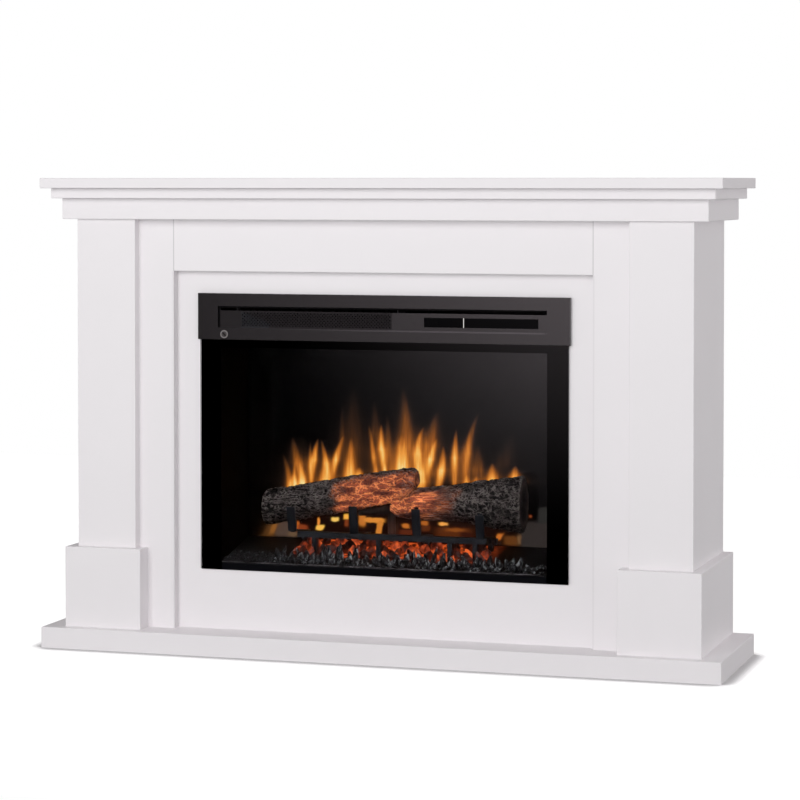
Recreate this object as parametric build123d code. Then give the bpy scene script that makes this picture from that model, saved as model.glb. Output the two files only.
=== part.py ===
from build123d import *
import math
import os

# Mantel: overall sizes in millimetres, back plane at +Y, floor at Z = 0
shelf_width = 1230.0
shelf_depth = 308.0
total_height = 839.0
board = 18.0
edge_radius = 1.5
side_step = 15.0
front_step = 16.0
lower_cornice_height = 37.0
cornice_rail_width = 63.0
base_height = 37.0

# Mantel: columns, blocks and the framed front
column_width = 111.0
column_side_setback = 25.5
column_front_setback = 8.0
block_height = 143.0
block_inner_board = 16.0
stile_width = 66.5
stile_setback = 19.0
header_height = 92.0

# Mantel: hidden timber and fixings
back_rail_height = 70.0
bearer_inset = 16.0
shelf_rear_gap = 20.0
bracket_leg = 30.0
bracket_width = 20.0
bracket_sheet = 2.0
bracket_rear_inset = 70.0
bracket_front_inset = 60.0
wood_screw_radius = 1.75
wood_screw_length = 12.0
wood_screw_head_radius = 3.5
wood_screw_head_height = 2.0

# Insert: trim, glass, frame and casing, all set out from the opening between the stiles
sheet = 1.0
trim_side_reveal = 42.0
trim_top_reveal = 39.0
trim_height = 82.0
trim_depth = 7.0
trim_sheet = 1.2
glass_foot = 107.0
glass_side_step = 3.5
glass_thickness = 4.0
frame_side_step = 4.0
frame_lap = 7.0
frame_foot_lap = 9.2
casing_side_step = 15.0
casing_end_step = 8.0
casing_rear_gap = 14.0
cutout_play = 2.0
flange_width = 10.0
viewing_margin = 27.0
viewing_lip = 3.0
viewing_head_lip = 9.0
back_screw_radius = 1.4
back_screw_inset = 60.0
back_screw_length = 5.0
louvre_length = 90.0
louvre_height = 4.0
louvre_pitch = 12.0
louvre_drop = 70.0
louvre_count = 9
gland_inset = 75.0
gland_rise = 24.0
gland_bore_radius = 4.2
gland_body_radius = 7.5
gland_flange_radius = 11.0
gland_flange = 4.0
gland_body = 9.0

# Insert: trim window with the outlet mesh and the controls
window_left_margin = 38.0
window_right_margin = 41.0
window_low_margin = 21.5
window_high_margin = 22.5
plate_thickness = 1.5
plate_recess = 1.5
slot_gap = 8.0
side_gap = 4.0
grille_share = 0.5375
blank_share = 0.07
mesh_pitch = 6.2
mesh_hole = 2.9
mesh_rows = 8
cover_screw_inset = 50.0
cover_screw_rise = 9.7
cover_screw_radius = 7.0
cover_screw_head = 1.2
cover_screw_slot = 1.6
bezel_share = 0.34
bezel_end_margin = 15.3
bezel_low_margin = 6.0
bezel_height = 16.7
bezel_thickness = 3.0
bezel_recess = 0.2
key_width = 20.0
key_height = 12.0
key_pitch = 23.0
key_inset = 14.0
key_gap = 0.1
key_flange = 1.0
key_proud = 0.8
key_travel = 1.0
circuit_board = 1.6
board_margin = 10.0
boss_radius = 2.5
boss_inset = 6.0
switch_size = 6.0
switch_height = 2.5
switch_plunger = 0.6
switch_gap = 0.1

# Insert: fire
deck_drop = 5.0
firebox_depth = 135.0
screen_thickness = 4.0
bed_front_rise = 5.0
bed_rear_rise = 33.0
bed_wall = 2.5
coal_pitch = 20.0
coal_radius = 8.0
coal_height = 13.0
bar_section = 12.0
bar_depth = 10.0
bar_rise = 58.0
bar_share = 0.586
bar_shift = 4.8
bar_setback = 41.0
grate_depth = 76.0
arm_fall = 10.0
finger_width = 15.0
finger_sheet = 4.0
finger_heights = (44.0, 49.0, 48.0, 41.0)
finger_lean = 10.0
finger_overhang = 9.8
finger_inset = 11.5
finger_count = 4
leg_width = 9.0
leg_shifts = (41.0, 45.0, 60.0, -10.0)
mid_bar_setback = 20.0
saddle_setback = 12.0
saddle_width = 8.0
saddle_shift = -8.0
log_unit = 10.0
branch_share = -0.02
branch_height = 51.0
branch_length = 62.0
branch_drop = 15.0
branch_radius = 7.0
twig_root_radius = 10.0
twig_tip_radius = 5.0
twig_slope = 7.0
led_board_width = 14.0
led_board_inset = 18.0
led_board_gap = 4.0
ember_lamp_setback = 45.0
led_size = 5.0
led_height = 2.0
led_count = 12

# Insert: turning parts
rod_rise = 37.0
rod_radius = 3.0
running_gap = 0.05
hub_radius = 5.0
hub_gap = 8.0
flicker_radius = 19.0
flicker_blade_length = 26.0
flicker_blade_sheet = 0.8
flicker_blade_count = 16
flicker_blade_turn = 50.0
rod_bracket_inset = 25.0
rod_bracket_sheet = 2.0
rod_bracket_half = 16.0
rod_bracket_foot = 14.0
flame_motor_radius = 21.0
flame_motor_length = 19.0
shaft_end_gap = 4.0
heater_overlap = 9.0
heater_height = 67.0
heater_depth = 117.0
element_setback = 15.0
element_depth = 16.0
element_fins = 12
impeller_radius = 27.0
impeller_end_gap = 8.0
impeller_disc = 2.0
impeller_blade_depth = 5.0
impeller_blade_sheet = 1.0
impeller_blades = 20
blower_motor_radius = 29.0
blower_motor_length = 36.0

# Mantel heights and faces that follow from the sizes above
shelf_under = total_height - board
middle_under = shelf_under - board
head = middle_under - lower_cornice_height
header_under = head - header_height
block_top = base_height + block_height
half = shelf_width / 2
middle_half = half - side_step
lower_half = middle_half - side_step
column_outer = lower_half - column_side_setback
column_inner = column_outer - column_width
block_outer = column_outer + board
block_inner = column_inner - block_inner_board
stile_inner = column_inner - stile_width
back = shelf_depth / 2
front = -back
middle_front = front + front_step
lower_front = middle_front + front_step
column_front = lower_front + column_front_setback
block_front = column_front - board
stile_front = column_front + stile_setback
panel_front = stile_front + board
panel_back = panel_front + board

# Insert heights and faces
trim_half = stile_inner - trim_side_reveal
trim_top = header_under - trim_top_reveal
trim_bottom = trim_top - trim_height
glass_half = trim_half - glass_side_step
glass_bottom = base_height + glass_foot
frame_half = trim_half - frame_side_step
casing_half = trim_half - casing_side_step
casing_inner = casing_half - sheet
casing_floor = glass_bottom + casing_end_step
casing_top = trim_top - casing_end_step
casing_height = casing_top - casing_floor
casing_back_outer = back - casing_rear_gap
casing_back_inner = casing_back_outer - sheet
frame_front = panel_front - sheet
floor = casing_floor + sheet
deck_under = trim_bottom - deck_drop
deck_top = deck_under + sheet
trim_front = frame_front - trim_depth
viewing_half = casing_half - viewing_margin
screen_front = panel_front + firebox_depth
screen_back = screen_front + screen_thickness

# Trim window and controls
window_left = -trim_half + window_left_margin
window_right = trim_half - window_right_margin
window_width = window_right - window_left
window_bottom = trim_bottom + window_low_margin
window_top = trim_top - window_high_margin
window_return = frame_front - plate_thickness
plate_front = trim_front + plate_recess
plate_back = plate_front + plate_thickness
plate_top = window_top - slot_gap
plate_left = window_left + side_gap
grille_right = window_left + grille_share * window_width
mesh_left = window_left + blank_share * window_width
bezel_right = window_right - bezel_end_margin
bezel_left = bezel_right - bezel_share * window_width
bezel_bottom = window_bottom + bezel_low_margin
bezel_middle = bezel_bottom + bezel_height / 2
bezel_front = plate_front + bezel_recess
bezel_back = bezel_front + bezel_thickness
switch_tip = bezel_back + key_flange + key_travel + switch_gap
board_front = switch_tip + switch_plunger + switch_height

# Fire, flicker rod and heater
bed_front = floor + bed_front_rise
bed_rear = floor + bed_rear_rise
bar_top = floor + bar_rise
bar_under = bar_top - bar_depth
bar_left = bar_shift - bar_share * viewing_half
bar_right = bar_shift + bar_share * viewing_half
bar_front = panel_front + bar_setback
bar_back = bar_front + bar_section
grate_rear = bar_front + grate_depth
first_finger = bar_left - finger_overhang
finger_pitch = (bar_right - finger_inset - first_finger) / (finger_count - 1)
finger_places = [first_finger + i * finger_pitch for i in range(finger_count)]
rod_y = (screen_back + casing_back_inner) / 2
rod_z = floor + rod_rise
rod_bracket_x = casing_half - rod_bracket_inset
heater_left = mesh_left - heater_overlap
heater_right = grille_right + heater_overlap
heater_rear = panel_front + heater_depth
heater_top = deck_top + heater_height
element_front = panel_front + element_setback
element_back = element_front + element_depth
blower_y = (heater_rear + element_back) / 2
blower_z = deck_top + heater_height / 2


def block(x0, x1, y0, y1, z0, z1):
    """A square-edged box between two corners."""
    middle = ((x0 + x1) / 2, (y0 + y1) / 2, (z0 + z1) / 2)
    return Pos(*middle) * Box(abs(x1 - x0), abs(y1 - y0), abs(z1 - z0))


def rod_along_x(x0, x1, y, z, radius):
    """A round bar parallel to X."""
    return Pos((x0 + x1) / 2, y, z) * Rot(0, 90, 0) * Cylinder(radius, abs(x1 - x0))


def rod_along_y(x, z, y0, y1, radius):
    """A round bar parallel to Y."""
    return Pos(x, (y0 + y1) / 2, z) * Rot(90, 0, 0) * Cylinder(radius, abs(y1 - y0))


def slab(points, z0, z1):
    """A flat outline in X and Y raised from one height to another."""
    return Pos(0, 0, z0) * extrude(make_face(Polyline(*points, close=True)), z1 - z0)


def bar_profile(points, x0, x1):
    """An outline in Y and Z drawn out along X."""
    outline = Plane.YZ * make_face(Polyline(*points, close=True))
    return Pos(x0, 0, 0) * extrude(outline, x1 - x0)


def mirrored(shape):
    """The same piece on the other side of the middle plane."""
    return mirror(shape, about=Plane.YZ)


def upright_edges_at(shape, y):
    """The upright edges of a shape that lie at one Y."""
    return [e for e in shape.edges().filter_by(Axis.Z) if abs(e.center().Y - y) < edge_radius / 10]


def save(name, shape):
    """Writes one node as a STEP file."""
    export_step(shape, os.path.join("parts", name + ".step"))


os.makedirs("parts", exist_ok=True)

# Angle brackets and their screws: first, because the boards are drilled for them
brackets = []
bracket_screws = []


def add_bracket(corner, along, first, second):
    """One angle bracket in a corner: two legs running the ways first and second, width along a third."""
    corner, along = Vector(*corner), Vector(*along)
    first, second = Vector(*first), Vector(*second)

    def leg(way, normal):
        a = corner - along * (bracket_width / 2)
        b = corner + along * (bracket_width / 2) + way * bracket_leg + normal * bracket_sheet
        return block(a.X, b.X, a.Y, b.Y, a.Z, b.Z)

    def screw(way, normal):
        seat = corner + way * (bracket_leg * 0.65) + normal * bracket_sheet
        shank = Plane(seat, z_dir=-normal) * Pos(0, 0, wood_screw_length / 2) * Cylinder(
            wood_screw_radius, wood_screw_length)
        cap = Plane(seat, z_dir=normal) * Pos(0, 0, wood_screw_head_height / 2) * Cylinder(
            wood_screw_head_radius, wood_screw_head_height)
        return shank + cap

    screws = [screw(first, second), screw(second, first)]
    brackets.append(leg(first, second) + leg(second, first) - screws)
    bracket_screws.extend(screws)


for side in (-1, 1):
    for y in (back - bracket_rear_inset, panel_back + bracket_front_inset):
        add_bracket((side * column_inner, y, base_height), (0, 1, 0), (-side, 0, 0), (0, 0, 1))
    for x in (side * half * 0.16, side * half * 0.55):
        add_bracket((x, back - board, middle_under), (1, 0, 0), (0, -1, 0), (0, 0, -1))
    for z in (casing_floor + casing_height * 0.25, casing_floor + casing_height * 0.75):
        add_bracket((side * casing_half, panel_back, z), (0, 0, 1), (side, 0, 0), (0, 1, 0))
save("angle_brackets", Compound(brackets))
save("bracket_screws", Compound(bracket_screws))

# Base plinth: folded board, hollow underneath
base = block(-half, half, front, back, 0, base_height)
base = fillet(base.edges().group_by(Axis.Z)[-1] + base.edges().filter_by(Axis.Z), edge_radius)
base -= block(-half + board, half - board, front + board, back - board, 0, base_height - board)
base -= bracket_screws
save("base_plinth", base)

# Columns: three-sided wraps open at the back, each on a wrapped block
column = block(column_inner, column_outer, column_front, back, base_height, head)
column = fillet(upright_edges_at(column, column_front), edge_radius)
column -= block(column_inner + board, column_outer - board, column_front + board, back + board, 0, total_height)
save("right_column", column - bracket_screws)
save("left_column", mirrored(column) - bracket_screws)

foot = block(block_inner, block_outer, block_front, back, base_height, block_top)
foot = fillet(upright_edges_at(foot, block_front) + foot.edges().group_by(Axis.Z)[-1], edge_radius)
foot -= block(column_inner, column_outer, column_front, back + board, 0, total_height)
foot -= block(stile_inner, column_inner, stile_front, back + board, 0, total_height)
save("right_plinth_block", foot)
save("left_plinth_block", mirrored(foot))

# Framed front: two stiles and a header over the panel that carries the insert
stile = block(stile_inner, column_inner, stile_front, panel_front, base_height, head)
save("right_stile", stile)
save("left_stile", mirrored(stile))
header = block(-stile_inner, stile_inner, stile_front, panel_front, header_under, head)
save("header_board", fillet(header.edges().filter_by(Axis.X).group_by(Axis.Z)[0].sort_by(Axis.Y)[0], edge_radius))

cutout_half = casing_half + cutout_play
panel = block(-column_inner, column_inner, panel_front, panel_back, base_height, head)
panel -= block(-cutout_half, cutout_half, panel_front, panel_back,
               casing_floor - cutout_play, casing_top + cutout_play)
save("insert_panel", panel - bracket_screws)

# Cornice: mitred lower rail, middle board and the shelf on top
rail_inner_x = lower_half - cornice_rail_width
rail_inner_y = lower_front + cornice_rail_width
front_rail = slab([(-lower_half, lower_front), (lower_half, lower_front),
                   (rail_inner_x, rail_inner_y), (-rail_inner_x, rail_inner_y)], head, middle_under)
front_rail = fillet(front_rail.edges().filter_by(Axis.X).group_by(Axis.Y)[0], edge_radius)
save("cornice_front_rail", front_rail)
side_rail = slab([(lower_half, lower_front), (lower_half, back),
                  (rail_inner_x, back), (rail_inner_x, rail_inner_y)], head, middle_under)
side_rail = fillet(side_rail.edges().filter_by(Axis.Y).group_by(Axis.X)[-1], edge_radius)
save("cornice_right_return", side_rail)
save("cornice_left_return", mirrored(side_rail))
middle = block(-middle_half, middle_half, middle_front, back, middle_under, shelf_under)
middle = fillet(middle.edges(), edge_radius)
save("cornice_middle_board", middle - bracket_screws)
shelf = block(-half, half, front, back, shelf_under, total_height)
save("mantel_shelf", fillet(shelf.edges(), edge_radius))

# Hidden timber: back rails, battens behind the panel, and the shelf the insert stands on
upper_rail = block(-column_inner, column_inner, back - board, back, middle_under - back_rail_height, middle_under)
save("upper_back_rail", upper_rail - bracket_screws)
lower_rail = block(-column_inner, column_inner, back - board, back, base_height, base_height + back_rail_height)
save("lower_back_rail", lower_rail)
support_under = casing_floor - board
support_rear = casing_back_outer - shelf_rear_gap
bearer_x = casing_half - bearer_inset
batten = block(column_inner - board, column_inner, panel_back, panel_back + board, base_height, head)
save("panel_battens", Compound([batten, mirrored(batten)]))
bearer = block(bearer_x - board / 2, bearer_x + board / 2, panel_back, support_rear, base_height, support_under)
save("shelf_bearers", Compound([bearer, mirrored(bearer)]))
support_half = column_inner - board
save("insert_support_shelf", block(-support_half, support_half, panel_back, support_rear, support_under, casing_floor))

# Insert casing: five sheets behind a front frame that laps the panel
front_frame = block(-frame_half, frame_half, frame_front, panel_front,
                    casing_floor - frame_foot_lap, casing_top + frame_lap)
front_frame -= block(-viewing_half, viewing_half, frame_front, panel_front,
                     casing_floor + viewing_lip, deck_under - viewing_head_lip)
front_frame -= block(window_left + viewing_lip, window_right - viewing_lip, frame_front, panel_front,
                     window_bottom + viewing_lip, window_top - viewing_lip)
save("front_frame", front_frame)

back_screws = []
back_screw_places = []
for side in (-1, 1):
    for z in (casing_floor + back_screw_inset, casing_floor + casing_height / 2, casing_top - back_screw_inset):
        back_screw_places.append((side * (casing_inner - flange_width / 2), z))
    for z in (floor + flange_width / 2, casing_top - sheet - flange_width / 2):
        back_screw_places.append((side * casing_half / 2, z))
for x, z in back_screw_places:
    shank = rod_along_y(x, z, casing_back_inner - back_screw_length, casing_back_outer, back_screw_radius)
    cap = rod_along_y(x, z, casing_back_outer, casing_back_outer + back_screw_radius, back_screw_radius * 2)
    back_screws.append(shank + cap)
save("casing_screws", Compound(back_screws))

flange_y = casing_back_inner - sheet
flange_low = floor + flange_width + sheet
flange_high = casing_top - flange_width - 2 * sheet
side_sheet = block(casing_inner, casing_half, panel_front, casing_back_inner, casing_floor, casing_top)
side_sheet += block(casing_inner - flange_width, casing_inner, flange_y, casing_back_inner, flange_low, flange_high)
save("casing_right", side_sheet - back_screws - bracket_screws)
save("casing_left", mirrored(side_sheet) - back_screws - bracket_screws)
flange_half = casing_inner - flange_width - sheet
bottom_sheet = block(-casing_inner, casing_inner, panel_front, casing_back_inner, casing_floor, floor)
bottom_sheet += block(-flange_half, flange_half, flange_y, casing_back_inner, floor, floor + flange_width)
save("casing_bottom", bottom_sheet - back_screws)
top_sheet = block(-casing_inner, casing_inner, panel_front, casing_back_inner, casing_top - sheet, casing_top)
top_sheet += block(-flange_half, flange_half, flange_y, casing_back_inner,
                   casing_top - sheet - flange_width, casing_top - sheet)
save("casing_top", top_sheet - back_screws)

gland_x = casing_half - gland_inset
gland_z = casing_floor + gland_rise
gland_end = casing_back_outer + gland_flange
gland = rod_along_y(gland_x, gland_z, casing_back_inner - gland_body, casing_back_outer, gland_body_radius)
gland += rod_along_y(gland_x, gland_z, casing_back_outer, gland_end, gland_flange_radius)
gland_hole = rod_along_y(gland_x, gland_z, casing_back_inner - gland_body, gland_end, gland_bore_radius)
save("cord_gland", gland - gland_hole)

back_sheet = block(-casing_half, casing_half, casing_back_inner, casing_back_outer, casing_floor, casing_top)
louvres = []
for side in (-1, 1):
    for i in range(louvre_count):
        z = casing_top - louvre_drop - i * louvre_pitch
        x = side * casing_half * 0.45
        louvres.append(block(x - louvre_length / 2, x + louvre_length / 2, casing_back_inner, casing_back_outer,
                             z - louvre_height / 2, z + louvre_height / 2))
save("casing_back", back_sheet - louvres - back_screws - gland)

# Glass front and the trim above it
save("glass_pane", block(-glass_half, glass_half, frame_front - glass_thickness, frame_front,
                         glass_bottom, trim_bottom))

cover_screw_x = -trim_half + cover_screw_inset
cover_screw_z = trim_bottom + cover_screw_rise
cover_screw_front = trim_front - cover_screw_head
cover_screw = rod_along_y(cover_screw_x, cover_screw_z, trim_front, frame_front, cover_screw_radius * 0.3)
cover_screw += rod_along_y(cover_screw_x, cover_screw_z, cover_screw_front, trim_front, cover_screw_radius)
slot = Rot(0, 45, 0) * Box(2.2 * cover_screw_radius, cover_screw_head, cover_screw_slot)
save("cover_screw", cover_screw - Pos(cover_screw_x, cover_screw_front, cover_screw_z) * slot)

trim = block(-trim_half, trim_half, trim_front, frame_front, trim_bottom, trim_top)
trim = fillet(trim.edges().group_by(Axis.Y)[0], trim_sheet / 2)
trim -= block(-trim_half + trim_sheet, trim_half - trim_sheet, trim_front + trim_sheet, frame_front,
              trim_bottom + trim_sheet, trim_top - trim_sheet)
trim += block(window_left - trim_sheet, window_right + trim_sheet, trim_front + trim_sheet / 2, window_return,
              window_bottom - trim_sheet, window_top + trim_sheet)
trim -= block(window_left, window_right, trim_front, window_return, window_bottom, window_top)
save("trim_fascia", trim - cover_screw)

# In the trim window: the outlet mesh on the left and the control plate on the right, under a dark slot
mesh_columns = int((grille_right - mesh_left) / mesh_pitch)
mesh_middle = (mesh_left + grille_right) / 2
plate_middle = (window_bottom + plate_top) / 2
grille_face = Pos((plate_left + grille_right) / 2, plate_middle) * Rectangle(
    grille_right - plate_left, plate_top - window_bottom)
mesh_holes = []
for row in range(mesh_rows):
    z = plate_middle + (row - (mesh_rows - 1) / 2) * mesh_pitch / 2
    for i in range(mesh_columns - row % 2):
        x = mesh_middle + (i - (mesh_columns - 1 - row % 2) / 2) * mesh_pitch
        mesh_holes.append(Pos(x, z) * Rot(0, 0, 45) * Rectangle(mesh_hole, mesh_hole))
grille = Plane.XZ * extrude(grille_face - mesh_holes, plate_thickness)
save("outlet_grille", Pos(0, plate_back, 0) * grille)

bezel = block(bezel_left, bezel_right, bezel_front, bezel_back, bezel_bottom, bezel_bottom + bezel_height)
plate = block(grille_right, window_right, plate_front, plate_back, window_bottom, plate_top)
plate -= block(bezel_left, bezel_right, plate_front, plate_back, bezel_bottom, bezel_bottom + bezel_height)
for x in (bezel_left - boss_inset, bezel_right + boss_inset):
    plate += rod_along_y(x, bezel_middle, plate_back, board_front, boss_radius)
save("control_plate", plate)

switches = []
hole_x = key_width / 2 + key_gap
hole_z = key_height / 2 + key_gap
for i, name in enumerate(("power_key", "heat_key", "flame_key")):
    x = bezel_left + key_inset + i * key_pitch
    bezel -= block(x - hole_x, x + hole_x, bezel_front, bezel_back, bezel_middle - hole_z, bezel_middle + hole_z)
    cap = block(x - key_width / 2, x + key_width / 2, bezel_front - key_proud, bezel_back,
                bezel_middle - key_height / 2, bezel_middle + key_height / 2)
    cap = fillet(cap.edges().group_by(Axis.Y)[0], key_proud / 2)
    cap += block(x - hole_x - key_flange, x + hole_x + key_flange, bezel_back, bezel_back + key_flange,
                 bezel_middle - hole_z - key_flange, bezel_middle + hole_z + key_flange)
    save(name, cap)
    body = block(x - switch_size / 2, x + switch_size / 2, switch_tip + switch_plunger, board_front,
                 bezel_middle - switch_size / 2, bezel_middle + switch_size / 2)
    plunger = rod_along_y(x, bezel_middle, switch_tip, switch_tip + switch_plunger, switch_size / 4)
    switches.append(body + plunger)
save("control_bezel", bezel)
save("key_switches", Compound(switches))
save("control_board", block(bezel_left - board_margin, bezel_right + board_margin,
                            board_front, board_front + circuit_board,
                            bezel_middle - board_margin, bezel_middle + board_margin))

# Firebox: deck under the heater, side liners and the flame screen
save("heater_deck", block(-casing_inner, casing_inner, panel_front, flange_y, deck_under, deck_top))
liner = block(viewing_half, viewing_half + sheet, panel_front, screen_front, floor, deck_under)
save("right_liner", liner)
save("left_liner", mirrored(liner))
save("flame_screen", block(-casing_inner, casing_inner, screen_front, screen_back, floor, deck_under))

# Ember bed: a bent translucent sheet sloping up to the screen, with loose-looking coals on it
slope = math.atan2(bed_rear - bed_front, firebox_depth)
bed_length = math.hypot(bed_rear - bed_front, firebox_depth)
drop = bed_wall / math.cos(slope)
bed_outer = [(panel_front, floor), (panel_front, bed_front), (screen_front, bed_rear), (screen_front, floor)]
bed_inner = [(panel_front + bed_wall, floor), (panel_front + bed_wall, bed_front - drop),
             (screen_front - bed_wall, bed_rear - drop), (screen_front - bed_wall, floor)]
under_bed = bar_profile(bed_outer, -viewing_half, viewing_half)
save("ember_bed", under_bed - bar_profile(bed_inner, -viewing_half, viewing_half))

bed_plane = Plane(origin=(0, panel_front, bed_front), x_dir=(1, 0, 0), z_dir=(0, -math.sin(slope), math.cos(slope)))
coals = []
coal_rows = (0.08, 0.21, 0.461, 0.591, 0.934)
coals_per_row = int(2 * (viewing_half - coal_pitch / 2) / coal_pitch)
for row, share in enumerate(coal_rows):
    for i in range(coals_per_row):
        wobble = math.sin(12.9 * i + 78.2 * row)
        x = (i - (coals_per_row - 1) / 2) * coal_pitch * (1 + 0.002 * wobble)
        outline = RegularPolygon(coal_radius * (1 + 0.05 * wobble), 6)
        lump = extrude(outline, coal_height * (1 + 0.2 * wobble), taper=14)
        coals.append(bed_plane * Pos(x, share * bed_length, 0) * Rot(0, 0, 40 * wobble) * lump)
save("coals", Compound(coals))


# Logs: lofted tapering forms on the grate
def log(stations):
    """A loft through ellipses: share of the half width, then depth, height and half sizes in log units."""
    faces = []
    for share, y, z, deep, tall in stations:
        spot = (share * viewing_half, bar_back + y * log_unit, bar_top + z * log_unit)
        faces.append(Plane(origin=spot, x_dir=(0, 1, 0), z_dir=(1, 0, 0)) * Ellipse(deep * log_unit, tall * log_unit))
    return loft(faces)


left_log = log([(-0.825, 3.2, 3.5, 2.6, 3.1), (-0.2, 3.2, 7.0, 2.7, 3.1), (0.14, 3.2, 8.9, 2.5, 2.7)])
right_log = log([(-0.025, 3.8, 4.3, 2.0, 1.5), (0.12, 4.0, 5.0, 2.7, 2.8), (0.38, 4.1, 5.5, 2.9, 3.3),
                 (0.778, 4.4, 5.5, 3.3, 5.0)]) - left_log
save("left_log", left_log)
save("right_log", right_log)

# Grate: three bars under flat arms that fall to the rear, fingers that lean out in front,
# legs cut to stand on the bed, and saddles on the arms cut to the logs
mid_front = bar_back + mid_bar_setback
rear_front = grate_rear - bar_section


def arm_under(y):
    """Height of the underside of the arms at one depth."""
    return bar_top - arm_fall * (y - bar_front) / grate_depth


grate = block(bar_left, bar_right, bar_front, bar_back, bar_under, bar_top)
for left, y in ((bar_left, mid_front), (first_finger - finger_width / 2, rear_front)):
    grate += block(left, bar_right, y, y + bar_section, arm_under(y) - bar_depth, arm_under(y))
arm = [(bar_front, bar_top), (grate_rear, arm_under(grate_rear)),
       (grate_rear, arm_under(grate_rear) + finger_sheet), (bar_front, bar_top + finger_sheet)]
saddle_front = bar_back + saddle_setback
for i, x in enumerate(finger_places):
    finger_top = bar_top + finger_heights[i]
    finger = [(bar_front, bar_top), (bar_front + finger_sheet, bar_top),
              (bar_front + finger_sheet - finger_lean, finger_top), (bar_front - finger_lean, finger_top)]
    grate += bar_profile(arm, x - finger_width / 2, x + finger_width / 2)
    grate += bar_profile(finger, x - finger_width / 2, x + finger_width / 2)
    if i != 1:
        saddle_x = x + saddle_shift
        grate += block(saddle_x - saddle_width / 2, saddle_x + saddle_width / 2,
                       saddle_front, saddle_front + bar_section, arm_under(saddle_front + bar_section), finger_top)
    for leg_x, y in ((x + leg_shifts[i], bar_front), (x, rear_front)):
        grate += block(leg_x - leg_width / 2, leg_x + leg_width / 2, y, y + bar_section,
                       bed_front, arm_under(y) - bar_depth)
save("log_grate", grate - under_bed - left_log - right_log)

branch_x = branch_share * viewing_half
branch_y = mid_front + bar_section / 2
branch_foot = arm_under(mid_front)
branch_top = bar_top + branch_height
branch = Pos(branch_x, branch_y, (branch_foot + branch_top) / 2) * Cylinder(branch_radius, branch_top - branch_foot)
twig_z = branch_top - branch_drop
twig_place = Pos(branch_x - branch_length / 2, branch_y, twig_z) * Rot(0, 90 - twig_slope, 0)
branch += twig_place * Cone(twig_tip_radius, twig_root_radius, branch_length)
save("branch_log", branch - left_log - right_log)

# Lights: two strips of lamps on the casing floor
strips = []
lamps = []
strip_half = viewing_half - led_board_inset
lamp_pitch = 2 * strip_half / led_count
for y in (screen_back + led_board_gap, panel_front + ember_lamp_setback):
    strips.append(block(-strip_half, strip_half, y, y + led_board_width, floor, floor + circuit_board))
    middle_y = y + led_board_width / 2
    for i in range(led_count):
        x = (i - (led_count - 1) / 2) * lamp_pitch
        lamps.append(block(x - led_size / 2, x + led_size / 2, middle_y - led_size / 2, middle_y + led_size / 2,
                           floor + circuit_board, floor + circuit_board + led_height))
save("led_boards", Compound(strips))
save("leds", Compound(lamps))

# Flicker rod: bladed shaft turning in two brackets, driven by a small motor
motor_face = rod_bracket_x + rod_bracket_sheet
bush_hole = rod_along_x(-casing_inner, casing_inner, rod_y, rod_z, rod_radius + running_gap)
rod_bracket = block(rod_bracket_x, motor_face, rod_y - rod_bracket_half, rod_y + rod_bracket_half,
                    floor, rod_z + rod_bracket_half)
rod_bracket += block(rod_bracket_x - rod_bracket_foot, motor_face, rod_y - rod_bracket_half, rod_y + rod_bracket_half,
                     floor, floor + rod_bracket_sheet)
rod_bracket -= bush_hole
save("rod_brackets", Compound([rod_bracket, mirrored(rod_bracket)]))
shaft_left = -motor_face - rod_bracket_sheet
shaft_right = motor_face + flame_motor_length - shaft_end_gap
shaft = rod_along_x(shaft_left, shaft_right, rod_y, rod_z, rod_radius)
save("flicker_shaft", shaft)
flame_motor = rod_along_x(motor_face, motor_face + flame_motor_length, rod_y, rod_z, flame_motor_radius)
flame_motor -= rod_along_x(motor_face, shaft_right + sheet, rod_y, rod_z, rod_radius + running_gap)
save("flame_motor", flame_motor)
hub_end = rod_bracket_x - hub_gap
blades = rod_along_x(-hub_end, hub_end, rod_y, rod_z, hub_radius)
blade_pitch = 2 * hub_end / flicker_blade_count
for i in range(flicker_blade_count):
    x = -hub_end + (i + 0.5) * blade_pitch
    vane = Box(flicker_blade_length, 2 * flicker_radius, flicker_blade_sheet)
    blades += Pos(x, rod_y, rod_z) * Rot(i * flicker_blade_turn, 0, 0) * vane
save("flicker_blades", blades - shaft)

# Fan heater: duct, element, cross-flow impeller and motor
duct = block(heater_left, heater_right, panel_front, heater_rear, deck_top, heater_top)
duct -= block(heater_left + sheet, heater_right - sheet, panel_front, heater_rear,
              deck_top + sheet, heater_top - sheet)
duct -= rod_along_x(heater_left, heater_right, blower_y, blower_z, rod_radius + running_gap)
save("heater_housing", duct)
element = block(heater_left + sheet, heater_right - sheet, element_front, element_back,
                deck_top + sheet, heater_top - sheet)
cell = (heater_right - heater_left - 2 * sheet) / element_fins
for i in range(element_fins):
    x = heater_left + sheet + (i + 0.5) * cell
    for low, high in ((0.1, 0.46), (0.54, 0.9)):
        element -= block(x - cell * 0.36, x + cell * 0.36, element_front, element_back,
                         deck_top + heater_height * low, deck_top + heater_height * high)
save("heating_element", element)
drum_left = heater_left + impeller_end_gap
drum_right = heater_right - impeller_end_gap
motor_end = heater_right + blower_motor_length
spindle_end = motor_end - 2 * shaft_end_gap
impeller = rod_along_x(heater_left - shaft_end_gap, spindle_end, blower_y, blower_z, rod_radius)
for i in range(4):
    x = drum_left + i * (drum_right - drum_left - impeller_disc) / 3
    impeller += rod_along_x(x, x + impeller_disc, blower_y, blower_z, impeller_radius)
for i in range(impeller_blades):
    blade = Box(drum_right - drum_left, impeller_blade_depth, impeller_blade_sheet)
    blade = Pos(0, impeller_radius - impeller_blade_depth / 2, 0) * Rot(25, 0, 0) * blade
    turned = Rot(i * 360 / impeller_blades, 0, 0) * blade
    impeller += Pos((drum_left + drum_right) / 2, blower_y, blower_z) * turned
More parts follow.
